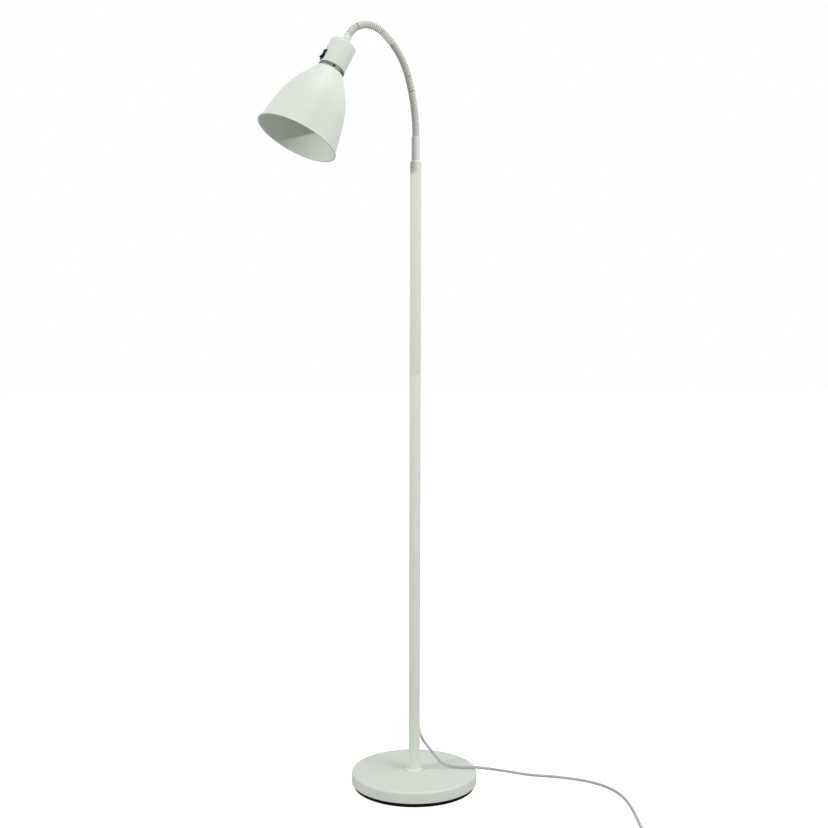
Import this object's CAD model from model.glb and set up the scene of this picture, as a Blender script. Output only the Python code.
"""Looks of a gooseneck reading floor lamp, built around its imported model.

Metres, +Z up, in the model's own frame: the origin is on the floor under the middle of the base,
the neck lies in the XZ plane and the head reaches toward -X. Turned pieces are an outline carried
round an axis, the neck is a wound surface carried along its line, and the lead is one curve.
"""
import math

import bpy
import numpy as np
from mathutils import Matrix, Vector


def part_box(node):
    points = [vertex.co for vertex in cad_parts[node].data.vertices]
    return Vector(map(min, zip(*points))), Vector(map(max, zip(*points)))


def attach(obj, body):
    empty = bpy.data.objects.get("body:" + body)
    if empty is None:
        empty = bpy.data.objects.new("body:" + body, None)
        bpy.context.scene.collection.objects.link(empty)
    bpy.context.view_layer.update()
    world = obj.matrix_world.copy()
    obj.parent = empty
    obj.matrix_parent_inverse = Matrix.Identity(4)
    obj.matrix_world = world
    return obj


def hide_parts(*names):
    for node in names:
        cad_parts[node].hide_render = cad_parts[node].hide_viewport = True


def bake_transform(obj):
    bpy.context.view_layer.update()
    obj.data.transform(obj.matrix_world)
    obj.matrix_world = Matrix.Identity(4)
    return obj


bl_info = {
    "name": "Gooseneck reading lamp",
    "version": (1, 0, 0),
    "blender": (4, 5, 0),
    "location": "3D View > Sidebar > Lamp",
    "description": "Dresses the frame of a gooseneck floor lamp with its surfaces and finishes",
    "category": "Object",
}

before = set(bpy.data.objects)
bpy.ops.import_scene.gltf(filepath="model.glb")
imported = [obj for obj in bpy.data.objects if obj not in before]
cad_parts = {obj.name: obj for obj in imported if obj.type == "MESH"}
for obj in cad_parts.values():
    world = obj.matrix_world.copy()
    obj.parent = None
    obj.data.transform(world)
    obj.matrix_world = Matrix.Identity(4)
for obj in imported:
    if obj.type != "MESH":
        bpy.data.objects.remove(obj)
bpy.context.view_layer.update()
MM = 0.001
FIT = 0.1 * MM  # clearance between pieces that fit together
NIPPLE_BORE = 5.1 * MM  # the hole for the hollow nipple that holds the head together
IMAGE_SIDE = 828  # pixels, the photograph's width and height
SENSOR_WIDTH = 36  # millimetres


# ---------------------------------------------------------------- sizes and colours
def length(name, default, description):
    """A size, given in millimetres and kept in metres."""
    return bpy.props.FloatProperty(name=name, default=default * MM, description=description,
                                   min=0, precision=5, unit="LENGTH", subtype="DISTANCE")


def turn(name, degrees, description):
    """An angle, given in degrees."""
    return bpy.props.FloatProperty(name=name, default=math.radians(degrees), description=description,
                                   unit="ROTATION", subtype="ANGLE")


def colour(name, default, description):
    """A colour, given as it is seen: red, green and blue from 0 to 1 on the display's scale."""
    linear = [((value + 0.055) / 1.055) ** 2.4 for value in default]
    return bpy.props.FloatVectorProperty(name=name, default=linear, description=description,
                                         subtype="COLOR", size=3, min=0, max=1)


def amount(name, default, description):
    """A plain number."""
    return bpy.props.FloatProperty(name=name, default=default, description=description, min=0)


class LampColours(bpy.types.PropertyGroup):
    """Colours of the lamp's finishes."""
    enamel: colour("Enamel", (0.89, 0.918, 0.88), "Baked paint of the base, pole and head")
    enamel_valley: colour("Neck valleys", (0.52, 0.54, 0.48), "Paint down between the neck's turns")
    chrome: colour("Plated steel", (0.47, 0.49, 0.47), "Trim ring round the foot of the housing")
    black: colour("Black plastic", (0.025, 0.025, 0.027), "Rocker switch and its frame")
    rubber: colour("Rubber", (0.03, 0.03, 0.03), "Pad under the base")
    sheath: colour("Lead", (0.72, 0.72, 0.75), "Plastic sheath of the mains lead")
    holder: colour("Lampholder", (0.06, 0.055, 0.05), "Dark moulded lampholder")
    brass: colour("Brass", (0.83, 0.70, 0.42), "Screw shell and pins")
    zinc: colour("Zinc", (0.70, 0.71, 0.72), "Screws, nuts and washers")
    iron: colour("Cast iron", (0.20, 0.19, 0.18), "Weight in the base")
    glass: colour("Opal glass", (0.95, 0.94, 0.90), "Bulb")


class BaseSizes(bpy.types.PropertyGroup):
    """Sizes of the base's surfaces that the frame doesn't give."""
    wall: length("Wall", 1.2, "Thickness of the pressed cover")
    edge: length("Edge radius", 4, "Rounding of the cover's upper edge")
    curl: length("Lower edge radius", 0.5, "Rounding of the cover's lower edge")
    groove: length("Pad groove", 0.9, "Depth of the ring grooves under the pad")
    groove_pitch: length("Groove pitch", 6.2, "Distance from groove to groove")
    collar_edge: length("Collar edge", 1.6, "Straight edge of the collar under its dome")
    collar_bow: length("Collar bow", 14, "Radius of the collar's dome")


class PoleSizes(bpy.types.PropertyGroup):
    """Sizes of the pole's surfaces that the frame doesn't give."""
    wall: length("Wall", 1, "Thickness of the tubes")
    lip: length("Tube end rounding", 0.45, "Rounding of the tubes' ends")
    groove: length("Seam groove", 0.5, "Depth of the grooves beside the joining ring")
    bore: length("Bore", 3, "Bore for the lead through the pole's top")
    spigot: length("Spigot radius", 5, "Radius of the insert's part inside the ferrule")
    sleeve: length("Sleeve thickness", 4.9, "Thickness of the sleeve that joins the tubes")


class NeckSizes(bpy.types.PropertyGroup):
    """Sizes of the neck: its turns, its ball joints and its three runs of steady bend."""
    radius: length("Radius", 7.05, "Radius over the turns")
    wire: length("Turn depth", 0.9, "Depth of the groove between two turns")
    pitch: length("Pitch", 4.1, "Distance from turn to turn")
    bore: length("Bore", 3.4, "Bore for the lead")
    seat: length("Seat", 9, "Length of the neck hidden in each ferrule")
    ball: length("Ball", 6.38, "Radius of the ball that fills a joint between rigid turns")
    play: length("Ball play", 0.05, "Clearance of the ball in its socket")
    room: length("Joint room", 2.6, "Gap over the ball, which the joint needs to turn")
    low_radius: length("Low bend radius", 400, "Radius of the first bend")
    low_turn: turn("Low bend", 16.5, "Turn of the first bend, in four pieces")
    middle_radius: length("Middle bend radius", 157, "Radius of the second bend")
    middle_turn: turn("Middle bend", 36.5, "Turn of the second bend, in three pieces")
    high_radius: length("High bend radius", 48, "Radius of the third bend")
    high_turn: turn("High bend", 99.8, "Turn of the third bend, in three pieces")


class HeadSizes(bpy.types.PropertyGroup):
    """Sizes of the head, measured out from its axis and up it from the rim of the shade."""
    rim: length("Rim radius", 80.5, "Radius over the rim's bead")
    lip: length("Rim lip", 2.6, "How far the bead stands out of the shade's side")
    bead: length("Bead height", 3.2, "Height of the bead")
    wall: length("Shade wall", 0.8, "Thickness of the shade")
    side_bow: length("Side bow", 900, "Radius of the side's bow near the rim")
    waist: length("Waist radius", 67.7, "Radius where the bell begins to close")
    waist_height: length("Waist height", 60, "Height of the waist")
    shoulder: length("Shoulder radius", 43.9, "Radius of the shoulder")
    shoulder_height: length("Shoulder height", 120, "Height of the shoulder")
    neck: length("Shade neck radius", 24.1, "Radius of the neck that the housing covers")
    neck_height: length("Shade neck height", 148, "Height of the neck's foot")
    top: length("Shade top", 159.5, "Height of the shade's top")
    housing: length("Housing radius", 25.7, "Radius of the housing")
    housing_foot: length("Housing foot", 156, "Height of the housing's foot")
    housing_top: length("Housing top", 209.8, "Height of the housing's side")
    dome: length("Dome", 2.5, "Rise of the housing's top")
    housing_edge: length("Housing edge", 5, "Rounding of the housing's upper edge")
    ring: length("Ring radius", 26, "Radius of the plated ring")
    ring_foot: length("Ring foot", 149.6, "Height of the ring's foot")
    ring_height: length("Ring height", 5.4, "Height of the ring")
    ring_gap: length("Ring gap", 4, "Gap of the ring on the near side")
    ring_turn: turn("Ring gap direction", -99, "Direction of the ring's gap round the head")
    ferrule: length("Ferrule radius", 7.6, "Radius of the ferrule on the housing")
    ferrule_length: length("Ferrule length", 17.2, "Length of the ferrule on the housing")
    holder: length("Lampholder radius", 12.5, "Radius of the lampholder")
    holder_foot: length("Lampholder foot", 139, "Height of the lampholder's mouth")
    bulb: length("Bulb radius", 22.5, "Radius of the globe")
    bulb_length: length("Bulb length", 54, "Length of the glass below the lampholder")
    screw_height: length("Screw height", 188.2, "Height of the housing's screw")
    screw: length("Screw radius", 2.6, "Radius of the screw's head")


class LeadSizes(bpy.types.PropertyGroup):
    """Sizes of the mains lead, its strain relief and its plug."""
    radius: length("Lead radius", 2.6, "Radius of the round lead")
    exit_length: length("Strain relief", 24, "Length of the tapered strain relief")
    exit_root: length("Strain relief root", 4, "Radius at the pole")
    exit_tip: length("Strain relief tip", 3.3, "Radius at the tip")
    coil_radius: length("Coil radius", 39.6, "Radius of the coil's outermost half turn")
    coil_pitch: length("Coil pitch", 6, "Distance between the coil's turns and layers")
    coil_in: bpy.props.IntProperty(name="Half turns inward", default=5, min=1,
                                   description="Half turns of the lower layer")
    coil_out: bpy.props.IntProperty(name="Half turns outward", default=4, min=1,
                                    description="Half turns of the upper layer")
    coil_steps: bpy.props.IntProperty(name="Points a half turn", default=8, min=6,
                                      description="Control points in each half turn")
    tail: length("Tail", 60, "Length from the coil to the plug")
    whole: length("Whole length", 1870, "Length of the lead from the pole to the plug")
    plug_width: length("Plug width", 35, "Width of the plug")
    plug_depth: length("Plug depth", 13.7, "Thickness of the plug")
    plug_length: length("Plug length", 37, "Length of the plug's body")
    pin_spacing: length("Pin spacing", 18.6, "Distance between the pins")
    pin_length: length("Pin length", 19, "Length of the pins")
    pin: length("Pin radius", 2, "Radius of the pins")


class StageSettings(bpy.types.PropertyGroup):
    """Camera and light of the stage."""
    distance: length("Camera distance", 2229.1, "From the pole to the camera, along the floor")
    height: length("Camera height", 830.1, "Height of the camera")
    aside: bpy.props.FloatProperty(name="Camera offset", default=-0.002143, unit="LENGTH",
                                   description="Sideways place of the camera")
    heading: turn("Heading", -26, "Direction from which the lamp is seen")
    pitch: turn("Pitch", 2.158, "How far the camera looks down")
    roll: turn("Roll", 0.1514, "Turn of the picture")
    focal: amount("Focal length", 1121.7, "Focal length in pixels of the photograph")
    floor: colour("Floor", (0.72, 0.72, 0.72), "Colour of the floor")
    daylight: amount("Room light", 0.40, "Strength of the light from all round")
    key: amount("Key light", 31.0, "Power of the wide lamp in front, in watts")
    fill: amount("Side light", 28.0, "Power of the lamp on the left, in watts")
    top: amount("Top light", 16.0, "Power of the lamp overhead, in watts")
    lift: amount("Floor lift", 0.85, "Light that the camera alone sees on the floor")


GROUPS = {
    "lamp_colours": LampColours,
    "lamp_base": BaseSizes,
    "lamp_pole": PoleSizes,
    "lamp_neck": NeckSizes,
    "lamp_head": HeadSizes,
    "lamp_lead": LeadSizes,
    "lamp_stage": StageSettings,
}

# control points of the lead's free stretch, chosen by hand: the same route as the solid's
LEAD_ROUTE = (
    (0.0130, -0.0045, 0.09950),
    (0.0160, -0.0060, 0.09050),
    (0.0285, -0.0105, 0.07260),
    (0.0405, -0.0150, 0.05600),
    (0.0540, -0.0195, 0.03860),
    (0.0750, -0.0265, 0.03330),
    (0.0930, -0.0395, 0.03340),
    (0.1130, -0.0515, 0.03430),
    (0.1415, -0.0560, 0.02800),
    (0.1710, -0.0510, 0.01850),
    (0.2000, -0.0485, 0.00950),
    (0.2220, -0.0535, 0.00400),
    (0.2395, -0.0660, 0.00265),
    (0.2720, -0.0895, 0.00265),
    (0.2975, -0.1130, 0.00265),
    (0.3205, -0.1410, 0.00265),
    (0.3365, -0.1740, 0.00265),
    (0.3405, -0.2120, 0.00265),
    (0.3335, -0.2515, 0.00265),
    (0.3160, -0.2965, 0.00265),
    (0.2930, -0.3435, 0.00265),
    (0.2695, -0.3895, 0.00265),
    (0.2525, -0.4355, 0.00265),
    (0.2465, -0.4835, 0.00265),
    (0.2465, -0.5355, 0.00265),
)


# ---------------------------------------------------------------- finishes
class Value:
    """A number in a finish's node tree. +, * and ** add Math nodes; so does a plain number before
    +, - or *."""

    def __init__(self, finish, socket):
        self.finish = finish
        self.socket = socket

    def _math(self, operation, first, second):
        return self.finish.add("ShaderNodeMath", {"operation": operation}, {0: first, 1: second})

    def __add__(self, other):
        return self._math("ADD", self, other)

    def __radd__(self, other):
        return self._math("ADD", other, self)

    def __rsub__(self, other):
        return self._math("SUBTRACT", other, self)

    def __mul__(self, other):
        return self._math("MULTIPLY", self, other)

    def __rmul__(self, other):
        return self._math("MULTIPLY", other, self)

    def __pow__(self, other):
        return self._math("POWER", self, other)


class Finish:
    """A procedural material: add() makes a node and returns one of its outputs as a Value."""

    def __init__(self, name, **constants):
        self.material = bpy.data.materials.new(name)
        self.material.use_nodes = True
        self.tree = self.material.node_tree
        self.shader = self.tree.nodes["Principled BSDF"]
        for socket, value in constants.items():
            self.shader.inputs[socket.replace("_", " ")].default_value = value

    def add(self, kind, settings=None, inputs=None, output=0):
        """A node of any kind. Its settings are set first and then its inputs."""
        node = self.tree.nodes.new(kind)
        for key, value in (settings or {}).items():
            setattr(node, key, value)
        for key, value in (inputs or {}).items():
            self.plug(node.inputs[key], value)
        return Value(self, node.outputs[output])

    def plug(self, socket, value):
        """Links a Value to a socket, or sets the socket to a plain number, colour or vector."""
        if isinstance(value, Value):
            self.tree.links.new(value.socket, socket)
        else:
            socket.default_value = value

    def set(self, **varying):
        """Feeds the shader's own inputs."""
        for socket, value in varying.items():
            self.plug(self.shader.inputs[socket.replace("_", " ")], value)
        return self.material

    def place(self):
        """The point's place in the row frame, in metres."""
        return self.add("ShaderNodeTexCoord", output="Object")

    def noise(self, scale, detail=2.0, roughness=0.5, vector=None):
        """Smooth random value about one half; scale is in cells a metre."""
        return self.add("ShaderNodeTexNoise", {"noise_dimensions": "3D"},
                        {"Vector": vector or self.place(), "Scale": scale, "Detail": detail,
                         "Roughness": roughness})

    def painted(self, name):
        """A number kept on the mesh's points."""
        return self.add("ShaderNodeAttribute", {"attribute_name": name}, output="Fac")

    def mix(self, share, first, second):
        """Colour between two colours, first where share is 0."""
        return self.add("ShaderNodeMix", {"data_type": "RGBA", "clamp_factor": True},
                        {0: share, 6: first, 7: second}, output=2)

    def bump(self, height, distance, strength=1.0, normal=None):
        """Surface relief from a height between 0 and 1; distance is in metres."""
        inputs = {"Height": height, "Distance": distance, "Strength": strength}
        if normal:
            inputs["Normal"] = normal
        return self.add("ShaderNodeBump", None, inputs)

    def facing_up(self):
        """1 where the surface faces up and 0 where it faces down."""
        normal = self.add("ShaderNodeNewGeometry", output="Normal")
        return self.add("ShaderNodeSeparateXYZ", None, {0: normal}, output="Z") * 0.5 + 0.5


def rgba(tint, factor=1.0):
    """A colour property times a factor, as red, green, blue and alpha."""
    return (*[min(channel * factor, 1.0) for channel in tint], 1.0)


def enamel(name, tint, valleys=None):
    """Baked paint: slow drift of tone, a fine orange peel, a softer gloss where hands smudge it,
    and a little dust on what faces up. With valleys, the paint darkens down between the turns."""
    finish = Finish(name, Specular_IOR_Level=0.38, Coat_Roughness=0.35)
    drift = finish.noise(7.0, 3.0)
    cloud = finish.noise(41.0, 4.0, 0.6)
    speck = finish.noise(2100.0, 2.0)
    peel = finish.noise(540.0, 2.0, 0.4)
    dust = finish.facing_up() ** 3.0
    base = finish.mix(drift, rgba(tint, 0.955), rgba(tint, 1.03))
    base = finish.mix(cloud * 0.5, base, rgba((tint[0], tint[1] * 0.995, tint[2] * 0.965), 0.97))
    base = finish.mix(dust * speck * 0.16, base, rgba((0.62, 0.60, 0.55)))
    roughness = 0.44 + 0.10 * cloud + 0.07 * dust
    if valleys:
        depth = 1.0 - finish.painted("rib")
        base = finish.mix(depth * 0.9, base, rgba(valleys))
        roughness = roughness + 0.2 * depth
    relief = finish.bump(peel, 0.00006, 0.55)
    relief = finish.bump(speck, 0.000012, 0.5, relief)
    return finish.set(Base_Color=base, Roughness=roughness, Coat_Weight=0.10 + 0.10 * cloud,
                      Normal=relief)


def plated(name, tint):
    """Bright plating over turned steel: fine lines round the piece and a few cloudy patches."""
    finish = Finish(name, IOR=2.5)
    lines = finish.noise(1.0, 2.0, 0.6, finish.painted("along") * 4200.0)
    haze = finish.noise(120.0, 4.0, 0.65)
    base = finish.mix(haze, rgba(tint, 0.86), rgba(tint, 1.05))
    return finish.set(Base_Color=base, Metallic=1.0, Roughness=0.38 + 0.14 * haze + 0.05 * lines,
                      Normal=finish.bump(lines, 0.00001, 0.5))


def bare_metal(name, tint, grain):
    """Bare or dull-plated metal: fine grain, stains and worn gloss."""
    finish = Finish(name)
    fine = finish.noise(grain, 5.0, 0.65)
    stain = finish.noise(grain * 0.06, 3.0, 0.6)
    base = finish.mix(stain, rgba(tint, 0.72), rgba(tint, 1.08))
    return finish.set(Base_Color=base, Metallic=0.95, Roughness=0.26 + 0.22 * fine + 0.1 * stain,
                      Normal=finish.bump(fine, 0.00004, 0.4))


def casting(name, tint):
    """Rough cast iron: sand grain, pits and a film of rust."""
    finish = Finish(name)
    sand = finish.noise(900.0, 6.0, 0.7)
    rust = finish.noise(60.0, 5.0, 0.7)
    base = finish.mix(rust * rust, rgba(tint), rgba((0.12, 0.055, 0.03)))
    return finish.set(Base_Color=base, Metallic=0.5, Roughness=0.62 + 0.25 * sand,
                      Normal=finish.bump(sand, 0.0004, 0.8))


def moulded(name, tint, gloss=0.32, grain=1500.0, shine=0.5):
    """Moulded plastic: spark-eroded grain, a slow change of tone and finger marks in the gloss."""
    finish = Finish(name, Specular_IOR_Level=shine)
    fine = finish.noise(grain, 3.0, 0.6)
    marks = finish.noise(90.0, 3.0, 0.6)
    base = finish.mix(marks, rgba(tint, 0.88), rgba(tint, 1.14))
    return finish.set(Base_Color=base, Roughness=gloss + 0.16 * marks + 0.08 * fine,
                      Normal=finish.bump(fine, 0.00003, 0.6))


def rubbery(name, tint):
    """Dull rubber: coarse grain with a grey bloom and dust in it."""
    finish = Finish(name, Specular_IOR_Level=0.12)
    fine = finish.noise(1800.0, 4.0, 0.7)
    bloom = finish.noise(45.0, 4.0, 0.6)
    base = finish.mix(bloom * 0.3, rgba(tint), rgba((0.022, 0.022, 0.021)))
    return finish.set(Base_Color=base, Roughness=0.72 + 0.2 * fine,
                      Normal=finish.bump(fine, 0.00012, 0.7))


def sheathing(name, tint):
    """Extruded plastic sheath: faint cloudiness, scuffs and a satin gloss."""
    finish = Finish(name, Specular_IOR_Level=0.55, Coat_Roughness=0.2)
    cloud = finish.noise(70.0, 3.0, 0.6)
    scuff = finish.noise(600.0, 4.0, 0.7)
    base = finish.mix(cloud, rgba(tint, 0.90), rgba(tint, 1.06))
    base = finish.mix((scuff * cloud) * 0.25, base, rgba((0.30, 0.29, 0.28)))
    return finish.set(Base_Color=base, Roughness=0.30 + 0.20 * scuff, Coat_Weight=0.15 * cloud,
                      Normal=finish.bump(scuff, 0.00003, 0.6))


def opal(name, tint):
    """Opal glass: milky white with a soft unevenness under a clear skin."""
    finish = Finish(name, Subsurface_Weight=0.35, Subsurface_Scale=0.004, IOR=1.5)
    milk = finish.noise(38.0, 3.0, 0.5)
    base = finish.mix(milk, rgba(tint, 0.96), rgba(tint, 1.03))
    return finish.set(Base_Color=base, Roughness=0.12 + 0.08 * milk, Coat_Weight=0.4 + 0.2 * milk,
                      Normal=finish.bump(milk, 0.0001, 0.2))


FINISHES = {}


def finish_for(slot):
    """The material of one of the record's slots, made at its first use."""
    if slot not in FINISHES:
        tints = bpy.context.scene.lamp_colours
        makers = {
            "cream_paint": lambda: enamel("enamel", tints.enamel),
            "neck_paint": lambda: enamel("neck enamel", tints.enamel, tints.enamel_valley),
            "chrome": lambda: plated("plated steel", tints.chrome),
            "zinc_steel": lambda: bare_metal("zinc", tints.zinc, 1400.0),
            "cast_iron": lambda: casting("cast iron", tints.iron),
            "black_rubber": lambda: rubbery("rubber", tints.rubber),
            "black_plastic": lambda: moulded("black plastic", tints.black, 0.42, shine=0.2),
            "holder_plastic": lambda: moulded("lampholder", tints.holder, 0.24, 2200.0),
            "brass": lambda: bare_metal("brass", tints.brass, 1100.0),
            "opal_glass": lambda: opal("opal glass", tints.glass),
            "lead_sheath": lambda: sheathing("lead sheath", tints.sheath),
            "cream_plastic": lambda: moulded("cream plastic", tints.enamel, 0.4),
        }
        FINISHES[slot] = makers[slot]()
    return FINISHES[slot]


# ---------------------------------------------------------------- outlines
def softened(corners, radii, closed=True, steps=7):
    """Outline through corners, each rounded by an arc of its radius. The arc touches both sides at
    radius / tan(half the corner's angle) from the corner; an open outline keeps its two ends."""
    corners = np.asarray(corners, float)
    radii = np.broadcast_to(np.asarray(radii, float), (len(corners),))[:, None]
    back = np.roll(corners, 1, axis=0) - corners
    ahead = np.roll(corners, -1, axis=0) - corners
    back /= np.linalg.norm(back, axis=1, keepdims=True)
    ahead /= np.linalg.norm(ahead, axis=1, keepdims=True)
    half = np.arccos(np.clip((back * ahead).sum(1, keepdims=True), -1, 1)) / 2
    reach = radii / np.tan(half)
    middle = back + ahead
    middle /= np.maximum(np.linalg.norm(middle, axis=1, keepdims=True), 1e-9)
    centre = corners + middle * radii / np.sin(half)
    start = corners + back * reach - centre
    end = corners + ahead * reach - centre
    share = np.linspace(0, 1, steps)[None, :, None]
    sweep = np.maximum(math.pi - 2 * half, 1e-6)[:, None, :]
    arcs = (np.sin((1 - share) * sweep) * start[:, None] + np.sin(share * sweep) * end[:, None])
    arcs = centre[:, None] + arcs / np.sin(sweep)
    arcs = np.where(radii[:, None] > 0, arcs, corners[:, None])
    points = [list(arc) for arc in arcs]
    if not closed:
        points[0] = [corners[0]]
        points[-1] = [corners[-1]]
    points = np.array([point for arc in points for point in arc])
    step = np.linalg.norm(np.diff(points, axis=0, prepend=points[-1:]), axis=1)
    step[0] = 1 if not closed else step[0]
    return points[step > 1e-7]


def bow(start, end, radius, steps=24):
    """Arc from start to end that bulges out from the axis: the centre lies square to the middle
    of the chord, at sqrt(radius squared - half the chord squared)."""
    start = np.asarray(start, float)
    end = np.asarray(end, float)
    chord = end - start
    half = np.linalg.norm(chord) / 2
    square = np.array([chord[1], -chord[0]]) / (2 * half)
    centre = (start + end) / 2 - square * math.sqrt(radius ** 2 - half ** 2)
    return arc_about(centre, start, end, steps)


def tangent_bow(start, heading, end, steps=24):
    """Arc that leaves start along heading and ends at end: its centre lies square to the heading,
    at half the squared chord over the chord's part along that square."""
    start = np.asarray(start, float)
    end = np.asarray(end, float)
    heading = np.asarray(heading, float)
    square = np.array([-heading[1], heading[0]]) / np.linalg.norm(heading)
    chord = end - start
    centre = start + square * (chord @ chord) / (2 * chord @ square)
    return arc_about(centre, start, end, steps)


def arc_about(centre, start, end, steps):
    """Points on a circle from start the short way round to end."""
    first = math.atan2(*(start - centre)[::-1])
    last = math.atan2(*(end - centre)[::-1])
    last = first + (last - first + math.pi) % (2 * math.pi) - math.pi
    angle = np.linspace(first, last, steps)
    radius = np.linalg.norm(start - centre)
    return centre + radius * np.stack([np.cos(angle), np.sin(angle)], axis=1)


# ---------------------------------------------------------------- surfaces
def grid_faces(rows, columns, wrap_rows=False, wrap_columns=False):
    """Quads between neighbouring points of a grid. A wrapped side joins its last points to its
    first ones."""
    row = np.arange(rows if wrap_rows else rows - 1)[:, None]
    column = np.arange(columns if wrap_columns else columns - 1)[None, :]
    next_row = (row + 1) % rows
    next_column = (column + 1) % columns
    quads = [row * columns + column, row * columns + next_column,
             next_row * columns + next_column, next_row * columns + column]
    return np.stack(np.broadcast_arrays(*quads), axis=-1).reshape(-1, 4)


def fan(centre, ring):
    """Triangles from one point to a closed ring of points."""
    return np.stack([np.full(len(ring), centre), ring, np.roll(ring, -1)], axis=1)


def mesh_piece(name, points, quads, triangles, slot, smooth, painted=None):
    """A mesh object from arrays of points and faces. Faces are turned outward if the volume that
    they enclose, a sixth of the sum of a . (b x c) over triangles a, b, c, comes out negative."""
    quads = np.asarray(quads, int).reshape(-1, 4)
    triangles = np.asarray(triangles, int).reshape(-1, 3)
    halves = np.concatenate([quads[:, [0, 1, 2]], quads[:, [0, 2, 3]], triangles])
    a, b, c = (points[halves[:, k]] for k in range(3))
    if (a * np.cross(b, c)).sum() < 0:
        quads = quads[:, ::-1]
        triangles = triangles[:, ::-1]
    mesh = bpy.data.meshes.new(name)
    mesh.from_pydata(points.tolist(), [], quads.tolist() + triangles.tolist())
    mesh.validate()
    for key, values in (painted or {}).items():
        attribute = mesh.attributes.new(key, "FLOAT", "POINT")
        attribute.data.foreach_set("value", np.ascontiguousarray(values, np.float32))
    mesh.polygons.foreach_set("use_smooth", np.ones(len(mesh.polygons), bool))
    mesh.set_sharp_from_angle(angle=math.radians(smooth))
    mesh.materials.append(finish_for(slot))
    piece = bpy.data.objects.new(name, mesh)
    bpy.context.scene.collection.objects.link(piece)
    return piece


class Axis:
    """A line with two directions square to it; a point is given by its distances along them."""

    def __init__(self, origin, across, side, up):
        self.origin = np.asarray(origin, float)
        self.frame = np.array([across, side, up], float)

    def at(self, points):
        """Points (across, side, up) as places in the row frame."""
        return self.origin + np.asarray(points, float) @ self.frame


UPRIGHT = Axis((0, 0, 0), (1, 0, 0), (0, 1, 0), (0, 0, 1))


def turned(name, body, slot, node, outline, axis=UPRIGHT, around=96, smooth=32, gap=None, ribs=None):
    """Turned piece that rides on a body and stands for a node: outline point (r, h) at angle a
    goes to r cos a, r sin a, h on the axis. The outline is closed, or open with both ends on the
    axis, which become the poles. gap = (middle angle, width) leaves a slot through a closed
    outline and caps it. ribs(angle, r, h) gives how far points move outward."""
    outline = np.asarray(outline, float)
    poles = outline[0, 0] < 1e-9
    side = outline[1:-1] if poles else outline
    if gap:
        half = gap[1] / 2 / outline[:, 0].max()
        angle = gap[0] + np.linspace(half, 2 * math.pi - half, around)
    else:
        angle = np.arange(around) * 2 * math.pi / around
    radius = np.repeat(side[:, :1], around, axis=1)
    height = np.repeat(side[:, 1:], around, axis=1)
    if ribs:
        radius = radius + ribs(angle[None, :], radius, height)
    grid = np.stack([radius * np.cos(angle), radius * np.sin(angle), height], axis=-1)
    quads = grid_faces(len(side), around, not poles, not gap)
    triangles = np.zeros((0, 3), int)
    ends = np.zeros((0, 3))
    count = grid.shape[0] * around
    if poles:
        ends = [[0, 0, outline[0, 1]], [0, 0, outline[-1, 1]]]
        first = np.arange(around)
        triangles = np.concatenate([fan(count, first[::-1]), fan(count + 1, count - around + first)])
    if gap:
        middle = side.mean(axis=0)
        ends = [[middle[0] * math.cos(a), middle[0] * math.sin(a), middle[1]] for a in angle[[0, -1]]]
        first = np.arange(len(side)) * around
        triangles = np.concatenate([fan(count, first), fan(count + 1, (first + around - 1)[::-1])])
    points = np.concatenate([grid.reshape(-1, 3), ends])
    piece = mesh_piece(name, axis.at(points), quads, triangles, slot, smooth, {"along": points[:, 2]})
    return dressed(piece, body, slot, node)


def capped(name, axis, grid, ends, slot, smooth):
    """Piece from closed rings of points, grid[row, place], with a fan to a point at either end."""
    rows, count = grid.shape[:2]
    total = rows * count
    ring = np.arange(count)
    triangles = np.concatenate([fan(total, ring[::-1]), fan(total + 1, total - count + ring)])
    points = axis.at(np.concatenate([grid.reshape(-1, 3), ends]))
    return mesh_piece(name, points, grid_faces(rows, count, False, True), triangles, slot, smooth)


def block_piece(name, axis, half_width, half_depth, heights, corner, slot, insets):
    """Block with rounded corners: at each height the section is a rectangle of the given half
    sizes less that height's inset, its corners rounded by a radius, closed by flat ends."""
    rounds = 6
    heights = np.asarray(heights, float)
    insets = np.asarray(insets, float)
    quarter = np.linspace(0, math.pi / 2, rounds)
    turns = (np.arange(4)[:, None] * math.pi / 2 + quarter[None, :]).ravel()
    signs = np.repeat(np.array([[1, 1], [-1, 1], [-1, -1], [1, -1]], float), rounds, axis=0)
    middle = signs * (np.array([half_width, half_depth]) - corner)
    shrink = np.maximum(corner - insets, 0.02 * MM)[:, None]
    past = np.maximum(insets - corner, 0)[:, None]
    section = [middle[:, k] + shrink * wave(turns) - signs[:, k] * past
               for k, wave in enumerate((np.cos, np.sin))]
    grid = np.stack([*section, np.repeat(heights[:, None], len(turns), axis=1)], axis=-1)
    return capped(name, axis, grid, [[0, 0, heights[0]], [0, 0, heights[-1]]], slot, 40)


def dressed(piece, body, slot, *nodes):
    """Lets a piece ride on a body, names its slot and hides the nodes that it stands for."""
    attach(piece, body)
    if nodes:
        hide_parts(*nodes)
    return piece


def span(node):
    """A node's radius about the pole, its foot and its top."""
    low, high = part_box(node)
    return high[0], low[2], high[2]


def finish_node(node, slot):
    """Gives a node that stays as it is the finish of a slot."""
    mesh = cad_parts[node]
    mesh.data.materials.clear()
    mesh.data.materials.append(finish_for(slot))


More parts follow.
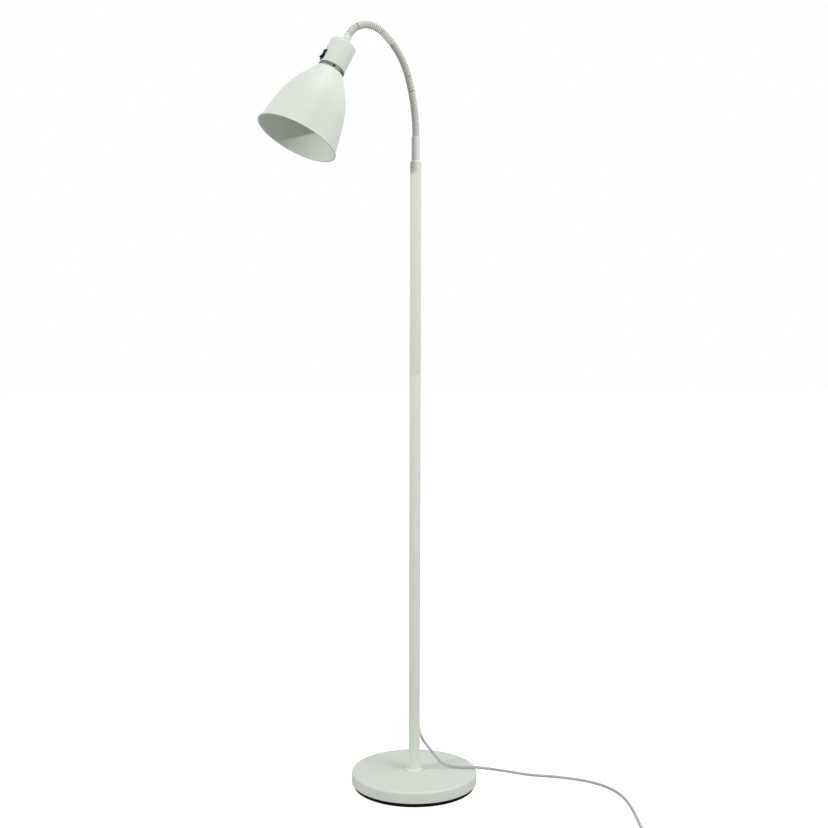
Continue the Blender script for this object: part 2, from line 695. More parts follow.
def refined(node, slot, width, body):
    """A rigid node's own shape with its doubles merged and its edges bevelled."""
    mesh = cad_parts[node].data.copy()
    piece = bpy.data.objects.new(f"{node}_fine", mesh)
    bpy.context.scene.collection.objects.link(piece)
    merge = piece.modifiers.new("merge", "WELD")
    merge.merge_threshold = 0.01 * MM
    bevel = piece.modifiers.new("edges", "BEVEL")
    bevel.width = width
    bevel.segments = 3
    bevel.limit_method = "ANGLE"
    bevel.angle_limit = math.radians(38)
    mesh.materials.clear()
    mesh.materials.append(finish_for(slot))
    mesh.polygons.foreach_set("use_smooth", np.ones(len(mesh.polygons), bool))
    mesh.polygons.foreach_set("material_index", np.zeros(len(mesh.polygons), np.int32))
    if mesh.has_custom_normals:
        with bpy.context.temp_override(object=piece, active_object=piece, selected_objects=[piece]):
            bpy.ops.mesh.customdata_custom_splitnormals_clear()
    mesh.set_sharp_from_angle(angle=math.radians(32))
    return dressed(piece, body, slot, node)


# ---------------------------------------------------------------- lines that pieces follow
class NeckLine:
    """The neck's middle line, from the top of the ferrule on the pole. Each piece has a bend radius;
    angles, ends and feet give the line's angle, distance and place at the ends of the pieces."""

    def __init__(self):
        sizes = bpy.context.scene.lamp_neck
        runs = ((sizes.low_radius, sizes.low_turn, 4), (sizes.middle_radius, sizes.middle_turn, 3),
                (sizes.high_radius, sizes.high_turn, 3))
        self.radius = np.array([radius for radius, _, count in runs for _ in range(count)])
        step = np.array([whole / count for _, whole, count in runs for _ in range(count)])
        self.angles = np.cumsum([0, *step])
        self.ends = np.cumsum([0, *(self.radius * step)])
        across = self.radius * np.diff(np.cos(self.angles))
        up = self.radius * np.diff(np.sin(self.angles))
        self.feet = np.cumsum([(0, 0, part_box("lower_ferrule")[1][2]),
                               *np.stack([across, 0 * up, up], axis=1)], axis=0)

    def at(self, distances):
        """Places on the line and its angle from straight up toward -X, at distances along it. On a
        piece of bend radius R from angle b, the point is R (cos a - cos b) across and
        R (sin a - sin b) up from the piece's foot; past both ends the line runs straight on."""
        piece = np.searchsorted(self.ends, distances, side="right") - 1
        piece = np.clip(piece, 0, len(self.radius) - 1)
        inside = np.clip(distances, 0, self.ends[-1])
        radius, start, foot = self.radius[piece], self.angles[piece], self.feet[piece]
        angle = start + (inside - self.ends[piece]) / radius
        beyond = distances - inside
        across = foot[:, 0] + radius * (np.cos(angle) - np.cos(start)) - np.sin(angle) * beyond
        up = foot[:, 2] + radius * (np.sin(angle) - np.sin(start)) + np.cos(angle) * beyond
        return np.stack([across, np.zeros_like(across), up], axis=1), angle


def head_axis():
    """The head's axis, with its origin in the middle of the rim's plane: back down the neck's last
    direction from the neck's end by the ferrule, the housing and the shade."""
    head = bpy.context.scene.lamp_head
    line = NeckLine()
    tilt = math.pi - line.angles[-1]
    up = np.array([math.sin(tilt), 0, math.cos(tilt)])
    across = np.array([math.cos(tilt), 0, -math.sin(tilt)])
    height = head.housing_top + head.dome + head.ferrule_length
    return Axis(line.feet[-1] - up * height, across, (0, 1, 0), up)


# ---------------------------------------------------------------- base and pole
class LAMP_OT_base(bpy.types.Operator):
    """Builds the base: pressed cover, rubber pad and collar, and finishes the weight inside it."""
    bl_idname = "lamp.base"
    bl_label = "Base"

    def execute(self, context):
        sizes = context.scene.lamp_base
        radius, foot, top = span("base_cover")
        inner, under = radius - sizes.wall, top - sizes.wall
        hole = span("foot_stud")[0] / 2
        outline = softened([(hole, top), (radius, top), (radius, foot), (inner, foot), (inner, under),
                            (hole, under)],
                           [0, sizes.edge, sizes.curl, sizes.curl, sizes.edge - sizes.wall, 0], steps=9)
        turned("base_shell", "stand", "cream_paint", "base_cover", outline, around=192)

        radius, _, top = span("foot_pad")
        reach = np.linspace(12 * MM, radius - 9 * MM, 90)
        wave = 0.5 - 0.5 * np.cos(reach / sizes.groove_pitch * 2 * math.pi)
        rim = softened([(radius - 6 * MM, 0), (radius, 0), (radius, top), (20 * MM, top)],
                       [0.6 * MM, 0.8 * MM, 0.3 * MM, 0], closed=False)
        outline = np.concatenate([[(0, 0)], np.stack([reach, sizes.groove * wave ** 2], axis=1), rim,
                                  [(0, top)]])
        turned("base_pad", "stand", "black_rubber", "foot_pad", outline, around=160, smooth=40)

        edge, low, high = span("pole_collar")
        bore = span("lower_tube")[0] + FIT
        chamfer = 0.3 * MM
        dome = bow((edge, low + sizes.collar_edge), (bore, high), sizes.collar_bow, 14)
        outline = np.concatenate([[(bore, low), (edge - chamfer, low), (edge, low + chamfer)], dome])
        turned("base_collar", "stand", "cream_paint", "pole_collar", outline, smooth=24)
        finish_node("base_weight", "cast_iron")
        for node in ("base_washer", "base_nut", "foot_stud"):
            finish_node(node, "zinc_steel")
        return {"FINISHED"}


class LAMP_OT_pole(bpy.types.Operator):
    """Builds the pole: two tubes with the joining ring between them, the top and the ferrule."""
    bl_idname = "lamp.pole"
    bl_label = "Pole"

    def execute(self, context):
        sizes = context.scene.lamp_pole
        for node in ("lower_tube", "upper_tube"):
            radius, low, high = span(node)
            inner = radius - sizes.wall
            corners = [(radius, low), (radius, high), (inner, high), (inner, low)]
            turned(f"pole_{node}", "stand", "cream_paint", node,
                   softened(corners, [sizes.lip, sizes.lip, 0.2 * MM, 0.2 * MM]))

        radius, _, foot = span("lower_tube")
        _, head, shoulder = span("upper_tube")
        _, low, high = span("tube_coupler")
        inside = radius - sizes.wall - FIT
        sleeve = inside - sizes.sleeve
        groove = radius - sizes.groove
        corners = [(inside, low), (inside, foot), (groove, foot), (radius, foot + sizes.groove),
                   (radius, head - sizes.groove), (groove, head), (inside, head), (inside, high),
                   (sleeve, high), (sleeve, low)]
        rounding = [0.5 * MM, 0, 0.05 * MM, 0.25 * MM, 0.25 * MM, 0.05 * MM, 0, 0.5 * MM, 0, 0]
        turned("pole_joining_ring", "stand", "cream_paint", "tube_coupler",
               softened(corners, rounding))

        _, low, high = span("top_insert")
        neck, foot, top = span("lower_ferrule")
        corners = [(inside, low), (inside, shoulder), (radius, shoulder), (radius, shoulder + 1 * MM),
                   (neck + 0.6 * MM, foot), (sizes.spigot, foot), (sizes.spigot, high),
                   (sizes.bore, high), (sizes.bore, low)]
        rounding = [0.4 * MM, 0, 0.2 * MM, 0.7 * MM, 0.5 * MM, 0.2 * MM, 0.3 * MM, 0.3 * MM, 0]
        turned("pole_shoulder", "stand", "cream_paint", "top_insert", softened(corners, rounding))

        bore = context.scene.lamp_neck.radius + FIT
        corners = [(neck, foot), (neck, top), (bore, top), (bore, foot)]
        turned("neck_ferrule_low", "stand", "cream_paint", "lower_ferrule",
               softened(corners, [0.4 * MM, 1 * MM, 0.2 * MM, 0]))
        return {"FINISHED"}


# ---------------------------------------------------------------- neck
class LAMP_OT_neck(bpy.types.Operator):
    """Builds the wound neck. A skin bends over the first joint and each sideways one. The other
    joints have rigid turns on either side, with a ball on the lower in a socket of the upper."""
    bl_idname = "lamp.neck"
    bl_label = "Gooseneck"
    rows_a_turn = 8
    columns = 40
    skins = (0, 1, 4, 7)  # blend is steady at these joints; past a sideways one the others aren't
    ball_reach = 0.77  # how far the ball stands out past its hinge, as a share of its radius
    ball_tone = 0.3  # the ball's paint, from a valley's at 0 to a crest's at 1
    socket_clear = 1.02  # the bore starts past the hinge by this share of the ball's radius
    edge = 0.3 * MM  # from the last turn below a joint to its hinge
    bend = 12.5 * MM  # most of a skin that bends, on either side of its hinge
    bend_free = 0.42  # a skin's ends stay straight for this share of the neck's radius

    def wound(self, name, line, first, last, ball=None, socket=None):
        """Skin of the neck between two distances along it. Its radius is the crest's less the
        groove: with u the share of a turn, s / pitch - angle / full circle, the groove's depth is
        (2u - 1) squared, which rounds the crests and leaves a sharp valley. ball and socket are
        the distances of hinges: a ball stands out of the last end, a socket opens the first."""
        sizes = bpy.context.scene.lamp_neck
        distance = np.linspace(first, last, round((last - first) / sizes.pitch * self.rows_a_turn) + 1)
        middle, angle = line.at(distance)
        around = np.arange(self.columns) / self.columns
        share = (distance[:, None] / sizes.pitch - around[None, :]) % 1.0
        crest = 1 - (2 * share - 1) ** 2
        rings = [self.carried(middle, angle, sizes.radius - sizes.wire * (1 - crest))]
        tones = [crest]
        if ball is not None:
            deep = np.linspace(0, self.ball_reach, 9) * sizes.ball
            rings.append(self.about(line, ball, deep, np.sqrt(sizes.ball ** 2 - deep ** 2)))
            rings.append(self.about(line, ball, deep[::-4], np.full(3, sizes.bore)))
            tones += [np.full(rings[1].shape[:2], self.ball_tone), np.zeros(rings[2].shape[:2])]
        clear = -np.inf if socket is None else socket + self.socket_clear * sizes.ball
        inner = self.carried(middle, angle, np.full(len(distance), sizes.bore))
        rings.append(inner[distance > clear][::-1])
        if socket is not None:
            wide = sizes.ball + sizes.play
            deep = np.linspace(math.sqrt(wide ** 2 - sizes.bore ** 2), first - socket, 8)
            rings.append(self.about(line, socket, deep, np.sqrt(wide ** 2 - deep ** 2)))
        points = np.concatenate(rings)
        rib = np.zeros(points.shape[:2])
        painted = np.concatenate(tones)
        rib[:len(painted)] = painted
        return mesh_piece(name, points.reshape(-1, 3), grid_faces(len(points), self.columns, True, True),
                          (), "neck_paint", 75, {"rib": rib.ravel()})

    def about(self, line, hinge, depths, radius):
        """Rings about the straight line through a hinge: a radius at each depth past the hinge."""
        middle, angle = line.at(np.full(len(depths), hinge))
        along = np.stack([-np.sin(angle), np.zeros_like(angle), np.cos(angle)], axis=1)
        return self.carried(middle + depths[:, None] * along, angle, radius)

    def carried(self, middle, angle, radius):
        """Rings about a line: the point at angle b lies radius cos b across and radius sin b
        along Y from the line, where across is square to the line in the XZ plane."""
        around = np.arange(self.columns) * 2 * math.pi / self.columns
        radius = radius.reshape(len(middle), -1)
        across = np.stack([np.cos(angle), np.zeros_like(angle), np.sin(angle)], axis=1)
        return (middle[:, None] + (radius * np.cos(around))[..., None] * across[:, None]
                + (radius * np.sin(around))[..., None] * np.array([0.0, 1.0, 0.0]))

    def execute(self, context):
        sizes = context.scene.lamp_neck
        line = NeckLine()
        halves = (line.ends[:-1] + line.ends[1:]) / 2
        halves[0] = -sizes.seat
        halves[-1] = line.ends[-1] + sizes.seat
        nodes = ["neck_root", *(f"neck_link_{k}" for k in range(1, 9)), "neck_tip"]
        bodies = ["stand", *(f"neck_{k}" for k in range(1, 9)), "head"]
        for k, hinge in enumerate(line.ends[1:-1]):
            first, last = halves[k], halves[k + 1]
            if k in self.skins:
                skin = self.wound(f"neck_skin_{k + 1}", line, first, last)
                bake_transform(skin)
                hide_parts(nodes[k], nodes[k + 1])
            else:
                name = f"neck_turns_{k + 1}"
                lower = self.wound(f"{name}_low", line, first, hinge - self.edge, ball=hinge)
                upper = self.wound(f"{name}_high", line, hinge + sizes.room, last, socket=hinge)
                dressed(lower, bodies[k], "neck_paint", nodes[k])
                dressed(upper, bodies[k + 1], "neck_paint", nodes[k + 1])
        return {"FINISHED"}


# ---------------------------------------------------------------- head
class LAMP_OT_shade(bpy.types.Operator):
    """Builds the shade with its rolled rim, and the plated ring round its neck."""
    bl_idname = "lamp.shade"
    bl_label = "Shade"

    @staticmethod
    def bell(size, inset, lip_height):
        """Side of the shade from the rim up: a bow to the waist, then two arcs that carry its
        direction on, to the shoulder and to the neck. inset moves it in by the wall."""
        foot = (size.rim - size.lip - inset, lip_height)
        waist = (size.waist - inset, size.waist_height)
        side = bow(foot, waist, size.side_bow - 5 * inset, 30)
        shoulder = (size.shoulder - inset * 0.8, size.shoulder_height - inset * 0.6)
        shoulders = tangent_bow(waist, side[-1] - side[-2], shoulder, 40)
        close = (size.neck + 3.2 * MM - 1.7 * inset, size.neck_height - 1.5 * MM - 0.6 * inset)
        crown = tangent_bow(shoulder, shoulders[-1] - shoulders[-2], close, 30)
        return np.concatenate([side, shoulders[1:], crown[1:]])

    def execute(self, context):
        size = context.scene.lamp_head
        axis = head_axis()
        outside = self.bell(size, 0, size.bead)
        inside = self.bell(size, size.wall, 0)
        inner_lip = size.rim - size.lip - size.wall
        bead = softened([inside[2], (inner_lip, 0), (size.rim, 0), (size.rim, 1.4 * MM),
                         (size.rim - size.lip, size.bead), outside[2]],
                        [0, 0.4 * MM, 0.68 * MM, 0.68 * MM, 2 * MM, 0], closed=False)
        hole, wall = size.holder + FIT, size.wall
        top = softened([outside[-1], (size.neck, size.neck_height), (size.neck, size.top),
                        (hole, size.top), (hole, size.top - wall), (size.neck - wall, size.top - wall),
                        (size.neck - wall, size.neck_height), inside[-1]],
                       [0, 0.8 * MM, 0.9 * MM, 0, 0, 0.5 * MM, 0.8 * MM, 0], closed=False)
        outline = np.concatenate([bead[:-1], outside[2:-1], top, inside[-2:2:-1]])
        turned("head_shade", "head", "cream_paint", "shade", outline, axis, around=168, smooth=40)

        foot, top, outer = size.ring_foot, size.ring_foot + size.ring_height, size.ring
        inner = outer - 1 * MM
        band = softened([(outer, foot), (outer, top), (inner, top), (inner, foot)], 0.35 * MM, steps=4)
        turned("head_ring", "head", "chrome", "trim_ring", band, axis, around=128,
               gap=(size.ring_turn, size.ring_gap))
        reach = np.array([math.cos(size.ring_turn), math.sin(size.ring_turn), 0])
        outward = reach @ axis.frame
        deep, edge = 0.9 * MM, 0.3 * MM
        near = Axis(axis.at(reach * (outer - deep) + [0, 0, foot + size.ring_height / 2]),
                    np.cross(axis.frame[2], outward), axis.frame[2], outward)
        key = block_piece("head_ring_key", near, size.ring_gap / 2, size.ring_height / 2 - edge,
                          [-deep, -0.05 * MM, 0.2 * MM], edge, "black_plastic",
                          insets=[0, 0, 0.25 * MM])
        dressed(key, "head", "black_plastic")
        return {"FINISHED"}


class LAMP_OT_housing(bpy.types.Operator):
    """Builds the housing over the lampholder, its ferrule and its screw."""
    bl_idname = "lamp.housing"
    bl_label = "Housing"

    def execute(self, context):
        size = context.scene.lamp_head
        axis = head_axis()
        wall = 1.2 * MM
        crown = size.housing_top + size.dome
        flat = size.ferrule + 2 * MM
        inner = size.housing - wall
        corners = [(size.housing, size.housing_foot), (size.housing, size.housing_top),
                   (flat, crown), (NIPPLE_BORE, crown), (NIPPLE_BORE, crown - wall), (flat, crown - wall),
                   (inner, size.housing_top - wall), (inner, size.housing_foot)]
        rounding = [0.45 * MM, size.housing_edge, 4 * MM, 0, 0, 3 * MM, size.housing_edge - wall,
                    0.3 * MM]
        outline = softened(corners, rounding, steps=10)
        turned("head_housing_shell", "head", "cream_paint", "head_housing", outline, axis, around=128)

        bore = context.scene.lamp_neck.radius + FIT
        top = crown + size.ferrule_length
        flare = size.ferrule + 1.2 * MM
        corners = [(flare, crown), (flare, crown + 0.6 * MM),
                   (size.ferrule, crown + 1.5 * MM), (size.ferrule, top), (bore, top), (bore, crown)]
        rounding = [0, 0.4 * MM, 0.8 * MM, 0.8 * MM, 0.2 * MM, 0]
        turned("neck_ferrule_high", "head", "cream_paint", "upper_ferrule",
              softened(corners, rounding), axis)

        left = Axis(axis.at([-size.housing, 0, size.screw_height]), (0, 1, 0), axis.frame[2],
                    -axis.frame[0])
        dressed(self.screw(left, size.screw), "head", "zinc_steel", "switch_screw")
        finish_node("head_nipple", "zinc_steel")
        finish_node("head_locknut", "zinc_steel")
        return {"FINISHED"}

    @staticmethod
    def screw(axis, radius):
        """Domed screw head with a cross recess: its height falls off as the square of the
        distance from the middle, and drops inside two crossing bars, deepest at the middle."""
        rise, recess, root, around = 1.2 * MM, 0.6 * MM, -3 * MM, 72
        bar_width, bar_length = 0.11 * radius, 0.62 * radius
        reach = np.linspace(0, 1, 22)[1:, None]
        angle = np.arange(around) * 2 * math.pi / around
        x = radius * reach * np.cos(angle)
        y = radius * reach * np.sin(angle)
        height = rise * (1 - 0.55 * reach ** 2 - 0.35 * reach ** 8) + 0 * x
        cross = ((np.minimum(np.abs(x), np.abs(y)) < bar_width)
                 & (np.maximum(np.abs(x), np.abs(y)) < bar_length))
        height = np.where(cross, height - recess * (1 - 0.5 * reach), height)
        foot = np.stack([x[-1], y[-1], np.full(around, root)], axis=1)
        grid = np.concatenate([np.stack([x, y, height], axis=-1), foot[None]])
        return capped("head_screw", axis, grid, [[0, 0, rise - recess], [0, 0, root]], "zinc_steel", 40)


class LAMP_OT_switch(bpy.types.Operator):
    """Finishes the rocker switch: its frame on the head and the rocker on its own body."""
    bl_idname = "lamp.switch"
    bl_label = "Switch"

    def execute(self, context):
        refined("switch_body", "black_plastic", 0.35 * MM, "head")
        refined("switch_rocker", "black_plastic", 0.4 * MM, "rocker")
        return {"FINISHED"}


class LAMP_OT_lampholder(bpy.types.Operator):
    """Builds the lampholder, its ring, the screw shell and the bulb."""
    bl_idname = "lamp.lampholder"
    bl_label = "Lampholder and bulb"

    def execute(self, context):
        size = context.scene.lamp_head
        axis = head_axis()
        foot, holder = size.holder_foot, size.holder
        bore, lip = holder - 3.6 * MM, holder + 2 * MM
        lip_top, top = size.top + 1.5 * MM, size.top + 36.5 * MM
        inner_top = top - 8 * MM
        corners = [(bore, foot), (holder, foot), (holder, size.top), (lip, size.top), (lip, lip_top),
                   (holder, lip_top), (holder, top - 3 * MM), (holder - 3 * MM, top),
                   (NIPPLE_BORE, top), (NIPPLE_BORE, inner_top), (bore, inner_top)]
        rounding = [0.6 * MM, 0.8 * MM, 0, 0.3 * MM, 0.3 * MM, 0, 0.5 * MM, 0.5 * MM, 0.3 * MM, 0, 0]
        turned("lampholder_body", "head", "holder_plastic", "lampholder",
               softened(corners, rounding), axis)

        high = size.top - size.wall
        low = high - 6 * MM
        hole, outer = holder + FIT, holder + 5.5 * MM
        corners = [(hole, high), (hole, low), (outer - 1 * MM, low), (outer, high)]

        def grips(angle, radius, height):
            """36 notches round the ring's outer edge."""
            return np.where(radius > outer - 1.5 * MM, -0.35 * MM * np.cos(angle * 36) ** 2, 0)

        turned("lampholder_ring", "head", "holder_plastic", "shade_ring",
               softened(corners, [0, 0.4 * MM, 0.6 * MM, 0.3 * MM]), axis, around=144, ribs=grips)

        cap = bore - 2 * MM
        depth, thread_pitch = 0.35 * MM, 2.9 * MM
        height = np.linspace(foot + 0.3 * MM, foot + 16.8 * MM, 60)
        thread = cap - depth * (0.5 - 0.5 * np.cos((height - foot) / thread_pitch * 2 * math.pi))
        low, high = foot + 0.1 * MM, foot + 22 * MM
        outline = np.concatenate([[(0, low), (cap - 0.4 * MM, low)],
                                  np.stack([thread, height], axis=1),
                                  [(3 * MM, foot + 21 * MM), (3 * MM, high), (0, high)]])
        turned("bulb_screw_cap", "head", "brass", "bulb_cap", outline, axis, smooth=45)

        middle = np.array([0, foot - size.bulb_length + size.bulb])
        down = np.array([0, -1])
        brow = np.array([math.cos(math.radians(52)), math.sin(math.radians(52))])
        glass = size.bulb - 1 * MM
        globe = arc_about(middle, middle + size.bulb * down, middle + size.bulb * brow, 60)
        inside = arc_about(middle, middle + glass * down, middle + glass * brow, 40)
        neck, throat = cap + 0.4 * MM, cap - 0.8 * MM
        side = tangent_bow(globe[-1], globe[-1] - globe[-2], (neck, foot - 2.5 * MM), 14)
        outline = np.concatenate([globe, side[1:], [(neck, foot), (throat, foot),
                                                    (throat, foot - 2 * MM)], inside[::-1]])
        turned("bulb_globe", "head", "opal_glass", "bulb_glass", outline, axis, around=120, smooth=50)
        finish_node("screw_shell", "brass")
        return {"FINISHED"}


# ---------------------------------------------------------------- mains lead
class LAMP_OT_lead(bpy.types.Operator):
    """Builds the mains lead: strain relief, one curve down to the floor and into its coil, plug."""
    bl_idname = "lamp.lead"
    bl_label = "Mains lead"

    @staticmethod
    def coil(size):
        """Control points of the coil. Each half turn runs from its near point to the far one on
        a circle, a step smaller or larger than the last, and the middle one climbs a layer. A
        spline passes inside such points by (3 + cos step) / 4, so the circle is larger by that."""
        steps = size.coil_steps
        ease = 0.75 + 0.25 * math.cos(math.pi / steps)
        angle = (np.arange(steps) + 0.5) * math.pi / steps
        near = np.array(LEAD_ROUTE[-1])
        side = -1
        radius = size.coil_radius
        halves = []
        for k in range(size.coil_in + 1 + size.coil_out):
            rise = size.coil_pitch if k == size.coil_in else 0
            middle = near + np.array([side * radius, 0, 0])
            x = middle[0] - side * radius / ease * np.cos(angle)
            y = middle[1] + side * radius / ease * np.sin(angle)
            z = near[2] + rise * (1 - np.cos(angle)) / 2
            halves.append(np.stack([x, y, z], axis=1))
            near = near + np.array([side * 2 * radius, 0, rise])
            side = -side
            radius += size.coil_pitch / 2 * (1 if k >= size.coil_in else -1)
        return np.concatenate(halves), near

    def execute(self, context):
        size = context.scene.lamp_lead
        coil, coil_end = self.coil(size)
        drop = coil_end[2] - size.plug_depth / 2
        tail = coil_end + np.array([[0, -0.25 * size.tail, 0], [0, -0.5 * size.tail, -0.1 * drop],
                                    [0, -0.75 * size.tail, -drop], [0, -size.tail, -drop]])
        points = np.concatenate([np.array(LEAD_ROUTE), coil, tail])

        curve = bpy.data.curves.new("mains_lead", "CURVE")
        curve.dimensions = "3D"
        spline = curve.splines.new("NURBS")
        spline.points.add(len(points) - 1)
        spline.points.foreach_set("co", np.c_[points, np.ones(len(points))].ravel())
        spline.order_u = 3
        spline.use_endpoint_u = True
        spline.resolution_u = 8
        curve.bevel_depth = size.radius
        curve.bevel_resolution = 7
        curve.use_fill_caps = True
        curve.materials.append(finish_for("lead_sheath"))
        lead = bpy.data.objects.new("mains_lead", curve)
        context.scene.collection.objects.link(lead)
        dressed(lead, "stand", "lead_sheath", "cord_lead", "cord_coil")

        self.strain_relief(size)
        mouth = tail[-1]
        pieces = self.plug(size, Axis(mouth, (1, 0, 0), (0, 0, 1), (0, -1, 0)))
        return {"FINISHED"}

    @staticmethod
    def strain_relief(size):
        """Tapered sleeve with rings: its radius falls steadily from root to tip, less a groove
        that repeats along the outer half."""
        start = np.array(LEAD_ROUTE[0])
        direction = np.array(LEAD_ROUTE[1]) - start
        direction /= np.linalg.norm(direction)
        side = np.array([0.0, 1.0, 0.0])
        across = np.cross(side, direction)
        across /= np.linalg.norm(across)
        side = np.cross(direction, across)
        axis = Axis(start - direction * size.exit_length, across, side, direction)
        height = np.linspace(0, size.exit_length - 0.8 * MM, 90)
        share = height / size.exit_length
        radius = size.exit_root + (size.exit_tip - size.exit_root) * share
        ring_pitch, ring_depth, plain = 3.2 * MM, 0.45 * MM, 0.42
        wave = 0.5 - 0.5 * np.cos(height / ring_pitch * 2 * math.pi)
        radius = radius - ring_depth * wave ** 3 * (share > plain)
        end = size.exit_length
        outline = np.concatenate([[(size.radius, 0)], np.stack([radius, height], axis=1),
                                  [(size.exit_tip - 0.5 * MM, end), (size.radius, end)]])
        turned("lead_strain_relief", "stand", "cream_plastic", "cord_grommet", outline, axis,
              around=56, smooth=35)

    @staticmethod
    def plug(size, axis):
        """Moulded plug: its section goes from a round sleeve to a flat rounded block. At share t
        along it, the section is the curve |x / a|^n + |y / b|^n = 1 with a, b and n growing."""
        share = np.concatenate([[0], np.linspace(0.0, 1.0, 70), [1.0]])
        sleeve, groove, waist = 4.5 * MM, 0.5 * MM, 1.6 * MM
        swell = np.clip((share - 0.16) / 0.42, 0, 1)
        swell = swell * swell * (3 - 2 * swell)
        width = sleeve + (size.plug_width / 2 - sleeve) * swell
        depth = sleeve + (size.plug_depth / 2 - sleeve) * swell
        power = 2 + 2.6 * swell
        grooves = np.where(share < 0.2, groove * np.sin(share / 0.2 * 4 * math.pi) ** 2, 0)
        finger = waist * np.exp(-((share - 0.66) / 0.12) ** 2)
        ends = np.minimum(1, np.sqrt(np.clip((1 - share) / 0.03, 0, 1)) * 0.1 + 0.9)
        width = (width - grooves - finger) * ends
        depth = (depth - grooves) * ends
        width[[0, -1]] *= 0.5
        depth[[0, -1]] *= 0.5
        angle = np.arange(64) * 2 * math.pi / 64
        cosine, sine = np.cos(angle), np.sin(angle)
        x = width[:, None] * np.sign(cosine) * np.abs(cosine) ** (2 / power[:, None])
        y = depth[:, None] * np.sign(sine) * np.abs(sine) ** (2 / power[:, None])
        grid = np.stack([x, y, 0 * x + share[:, None] * size.plug_length], axis=-1)
        body = capped("plug_moulding", axis, grid, [[0, 0, 0], [0, 0, size.plug_length]],
                      "lead_sheath", 50)
        dressed(body, "stand", "lead_sheath", "plug_body")
        pins = []
        for side, label in ((-1, "left"), (1, "right")):
            root = 2 * MM
            pin_axis = Axis(axis.at([side * size.pin_spacing / 2, 0, size.plug_length - root]),
                            *axis.frame)
            reach, step, thin = size.pin_length + root, root + size.pin_length / 2, size.pin * 0.86
            outline = softened([(0, 0), (size.pin, 0), (size.pin, step), (thin, step),
                                (thin, reach), (0, reach)],
                               [0, 0, 0.1 * MM, 0, 1.2 * MM, 0], closed=False)
            pins.append(turned(f"plug_pin_{label}", "stand", "brass", "plug_pins", outline, pin_axis,
                              around=40))
        return [body, *pins]


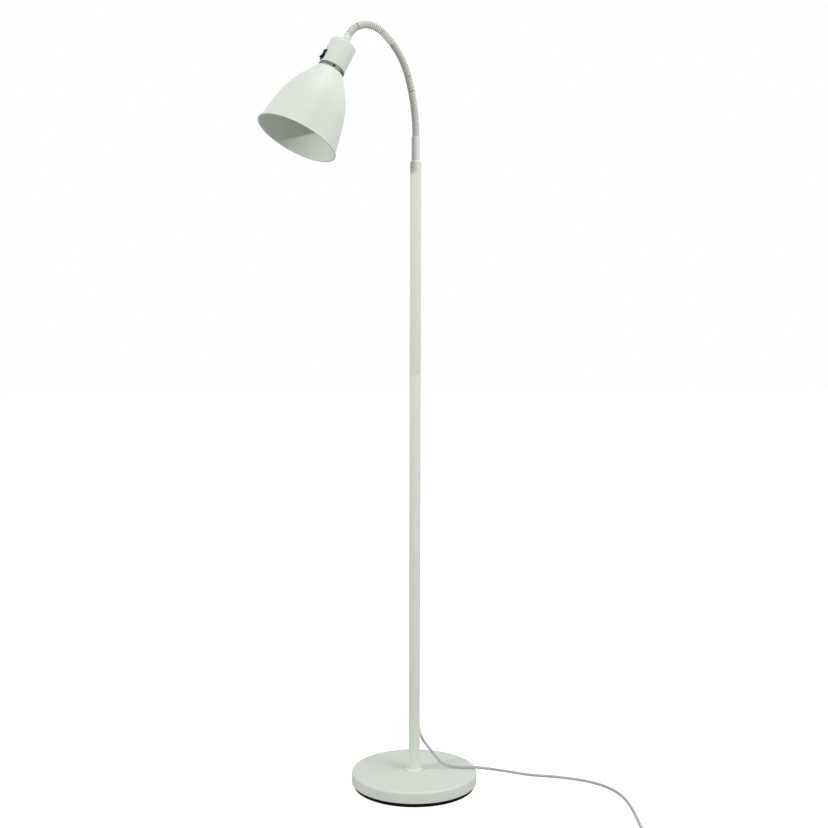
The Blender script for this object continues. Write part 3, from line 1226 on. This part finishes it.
# ---------------------------------------------------------------- stage
class LAMP_OT_stage(bpy.types.Operator):
    """Sets the floor, the light and the camera."""
    bl_idname = "lamp.stage"
    bl_label = "Stage"

    def execute(self, context):
        settings = context.scene.lamp_stage
        self.floor(context, settings)
        self.room(context, settings)
        self.lamps(context, settings)
        self.camera(context, settings)
        return {"FINISHED"}

    @staticmethod
    def floor(context, settings):
        """Flat square floor just under the base. What the camera sees of it is lifted to white
        where no shadow falls."""
        side, drop = 40, 0.1 * MM
        corners = [(x * side, y * side, -drop) for x, y in ((-1, -1), (1, -1), (1, 1), (-1, 1))]
        mesh = bpy.data.meshes.new("floor")
        mesh.from_pydata(corners, [], [(0, 1, 2, 3)])
        floor = bpy.data.objects.new("floor", mesh)
        context.scene.collection.objects.link(floor)
        finish = Finish("floor paper", Roughness=0.9, Specular_IOR_Level=0.1)
        grain = finish.noise(60.0, 4.0, 0.6)
        tone = finish.mix(grain, rgba(settings.floor, 0.99), rgba(settings.floor, 1.01))
        seen = finish.add("ShaderNodeLightPath", output="Is Camera Ray")
        finish.set(Base_Color=tone, Emission_Color=(1, 1, 1, 1),
                   Emission_Strength=seen * settings.lift)
        mesh.materials.append(finish.material)

    @staticmethod
    def room(context, settings):
        """Even light from all round. The camera, and what is seen in metal or through glass,
        gets plain white."""
        world = bpy.data.worlds.new("studio")
        world.use_nodes = True
        context.scene.world = world
        tree = world.node_tree
        tree.nodes.clear()
        add, link = tree.nodes.new, tree.links.new
        out = add("ShaderNodeOutputWorld")
        mix = add("ShaderNodeMixShader")
        rays = add("ShaderNodeLightPath")
        for place, strength in ((1, settings.daylight), (2, 1)):
            light = add("ShaderNodeBackground")
            light.inputs["Color"].default_value = (1, 1, 1, 1)
            light.inputs["Strength"].default_value = strength
            link(light.outputs[0], mix.inputs[place])
        seen = rays.outputs["Is Camera Ray"]
        for ray in ("Is Glossy Ray", "Is Transmission Ray"):
            either = add("ShaderNodeMath")
            either.operation = "MAXIMUM"
            link(seen, either.inputs[0])
            link(rays.outputs[ray], either.inputs[1])
            seen = either.outputs[0]
        link(seen, mix.inputs[0])
        link(mix.outputs[0], out.inputs[0])

    @staticmethod
    def lamps(context, settings):
        """A wide soft lamp in front, a smaller one on the left that reaches into the shade, and one
        overhead, each turned to a point on the lamp."""
        for name, place, target, size, power in (
                ("key", (1.35, -2.4, 1.25), (0, 0, 0.9), 1.6, settings.key),
                ("side", (-2.62, -0.25, 1.38), (-0.1, 0, 1.1), 0.14, settings.fill),
                ("top", (0.4, -0.5, 3.0), (0, 0, 0.6), 1.0, settings.top)):
            lamp = bpy.data.lights.new(name, "AREA")
            lamp.shape = "DISK"
            lamp.size = size
            lamp.energy = power
            holder = bpy.data.objects.new(name, lamp)
            context.scene.collection.objects.link(holder)
            holder.location = place
            direction = Vector(target) - Vector(place)
            holder.rotation_euler = direction.to_track_quat("-Z", "Y").to_euler()

    @staticmethod
    def camera(context, settings):
        """Camera where the photograph was taken: at its distance back along the heading, at its
        height, looking down by the pitch and turned by the roll."""
        heading = settings.heading
        ahead = Vector((-math.sin(heading), math.cos(heading), 0))
        right = Vector((math.cos(heading), math.sin(heading), 0))
        place = -ahead * settings.distance + right * settings.aside + Vector((0, 0, settings.height))
        look = ahead * math.cos(settings.pitch) - Vector((0, 0, 1)) * math.sin(settings.pitch)
        upward = Vector((0, 0, 1)) * math.cos(settings.pitch) + ahead * math.sin(settings.pitch)
        picture_right = right * math.cos(settings.roll) + upward * math.sin(settings.roll)
        picture_up = upward * math.cos(settings.roll) - right * math.sin(settings.roll)
        camera = bpy.data.cameras.new("camera")
        camera.sensor_width = SENSOR_WIDTH
        camera.lens = SENSOR_WIDTH * settings.focal / IMAGE_SIDE
        camera.clip_end = 100
        holder = bpy.data.objects.new("camera", camera)
        context.scene.collection.objects.link(holder)
        columns = Matrix((picture_right, picture_up, -look)).transposed().to_4x4()
        holder.matrix_world = Matrix.Translation(place) @ columns
        context.scene.camera = holder
        context.scene.view_settings.view_transform = "Standard"


# ---------------------------------------------------------------- panel and registration
STEPS = (LAMP_OT_stage, LAMP_OT_lead, LAMP_OT_base, LAMP_OT_pole, LAMP_OT_neck, LAMP_OT_shade,
         LAMP_OT_housing, LAMP_OT_switch, LAMP_OT_lampholder)


class LAMP_PT_pieces(bpy.types.Panel):
    """Lists the steps and their sizes in the 3D view's sidebar."""
    bl_idname = "LAMP_PT_pieces"
    bl_label = "Reading lamp"
    bl_space_type = "VIEW_3D"
    bl_region_type = "UI"
    bl_category = "Lamp"

    def draw(self, context):
        for step in STEPS:
            self.layout.operator(step.bl_idname)
        for name, group in GROUPS.items():
            box = self.layout.box()
            for size in group.__annotations__:
                box.prop(getattr(context.scene, name), size)


def register():
    for group in GROUPS.values():
        bpy.utils.register_class(group)
    for name, group in GROUPS.items():
        setattr(bpy.types.Scene, name, bpy.props.PointerProperty(type=group))
    for kind in (*STEPS, LAMP_PT_pieces):
        bpy.utils.register_class(kind)


def unregister():
    for kind in (LAMP_PT_pieces, *reversed(STEPS)):
        bpy.utils.unregister_class(kind)
    for name, group in reversed(GROUPS.items()):
        delattr(bpy.types.Scene, name)
        bpy.utils.unregister_class(group)


def main():
    """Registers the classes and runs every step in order."""
    register()
    for step in STEPS:
        group, name = step.bl_idname.split(".")
        getattr(getattr(bpy.ops, group), name)()


if __name__ == "__main__":
    main()
